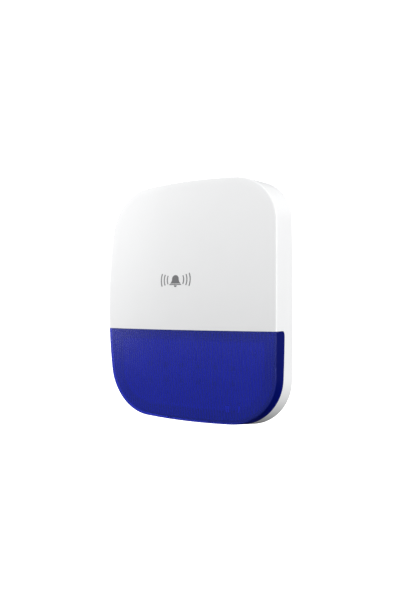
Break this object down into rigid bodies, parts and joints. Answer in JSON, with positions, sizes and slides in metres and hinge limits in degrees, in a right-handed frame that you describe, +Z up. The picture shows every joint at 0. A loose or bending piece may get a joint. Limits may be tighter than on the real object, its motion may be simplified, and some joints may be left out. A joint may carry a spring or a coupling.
{
  "type": "outdoor alarm siren",
  "caption": "Flat crowned wall siren with a white shell and a wrap-round blue strobe lens, on a lift-off wall bracket, with a top-hinged cover and sprung tamper switches.",
  "frame": {"origin": "on the wall plane behind the bracket, at the middle of the housing's outline", "axes": "+Z up, +Y into the wall, so the front of the siren faces -Y and +X is to the right of someone who faces it"},
  "size_m": [0.214, 0.0575, 0.27],
  "materials": {
    "white_shell": "satin white moulded plastic with a very fine grain",
    "white_plastic": "matt white moulded plastic",
    "bracket_plastic": "matt light grey moulded plastic",
    "blue_lens": "glossy translucent blue polycarbonate with fine upright flutes inside",
    "rubber": "soft black rubber",
    "steel": "zinc-plated steel",
    "nickel": "bright nickel plate",
    "brass_parts": "brass and copper",
    "black_plastic": "matt black plastic",
    "cell_sleeve": "plain shrink sleeve on a lithium cell",
    "circuit_board": "green solder mask",
    "white_board": "white solder mask",
    "capacitor_sleeve": "dark sleeve with an aluminium top",
    "green_plastic": "green plastic",
    "ivory_plastic": "ivory plastic",
    "red_plastic": "red plastic",
    "reflector_silver": "vacuum-metallised plastic",
    "led_yellow": "silicone-filled diode package",
    "lead_red": "red lead sleeve",
    "lead_black": "black lead sleeve"
  },
  "bodies": {
    "bracket": {"wall_bracket": "bracket_plastic", "locking_screw": "steel"},
    "siren": {"rear_housing": "white_plastic", "cable_grommet": "rubber", "battery_holder": "black_plastic", "battery_contacts": "nickel", "battery_cell_1": "cell_sleeve", "battery_cell_2": "cell_sleeve", "battery_cell_3": "cell_sleeve", "battery_cell_4": "cell_sleeve", "main_board": "circuit_board", "board_screws": "steel", "radio_module": "nickel", "antenna": "black_plastic", "controller_chips": "black_plastic", "capacitors": "capacitor_sleeve", "step_up_coil": "brass_parts", "terminal_block": "green_plastic", "terminal_screws": "steel", "lead_sockets": "ivory_plastic", "power_switch_body": "nickel", "pairing_switch_body": "nickel", "cover_tamper_switch": "black_plastic", "cover_tamper_spring": "steel", "wall_tamper_switch": "black_plastic", "wall_tamper_spring": "steel", "reflector": "reflector_silver", "reflector_screws": "steel", "led_board": "white_board", "strobe_leds": "led_yellow", "led_board_screws": "steel", "sounder_chamber": "black_plastic", "sounder_lid": "black_plastic", "sounder_screws": "steel", "piezo_disc": "brass_parts", "strobe_lead": "lead_red", "sounder_lead": "lead_black", "battery_lead": "lead_red"},
    "cover": {"front_cover": "white_shell", "strobe_lens": "blue_lens", "lens_seal": "rubber", "lens_screws": "steel", "cover_screws": "steel", "cover_nuts": "brass_parts"},
    "cover_plunger": {"cover_tamper_plunger": "ivory_plastic"},
    "wall_plunger": {"wall_tamper_plunger": "ivory_plastic"},
    "power_slider": {"power_switch_slider": "black_plastic"},
    "pairing_key": {"pairing_button": "red_plastic"}
  },
  "joints": [
    {"name": "siren_lift", "type": "slide", "parent": "bracket", "child": "siren", "axis": [0, 0, 1], "range_m": [0, 0.008]},
    {"name": "cover_swing", "type": "hinge", "parent": "siren", "child": "cover", "pos_m": [0, -0.0055, 0.1305], "axis": [-1, 0, 0], "range_deg": [0, 80]},
    {"name": "cover_tamper", "type": "slide", "parent": "siren", "child": "cover_plunger", "axis": [0, -1, 0], "range_m": [0, 0.0025], "deforming": ["cover_tamper_spring"]},
    {"name": "wall_tamper", "type": "slide", "parent": "siren", "child": "wall_plunger", "axis": [0, 1, 0], "range_m": [0, 0.002], "deforming": ["wall_tamper_spring"]},
    {"name": "power_switch", "type": "slide", "parent": "siren", "child": "power_slider", "axis": [1, 0, 0], "range_m": [0, 0.003]},
    {"name": "pairing_press", "type": "slide", "parent": "siren", "child": "pairing_key", "axis": [0, 1, 0], "range_m": [0, 0.0005], "stiffness_N_per_m": 400}
  ],
  "couplings": [
    {"joint": "cover_tamper", "follows": "cover_swing", "m_per_rad": 0.00179},
    {"joint": "wall_tamper", "follows": "siren_lift", "ratio": 0.25}
  ]
}
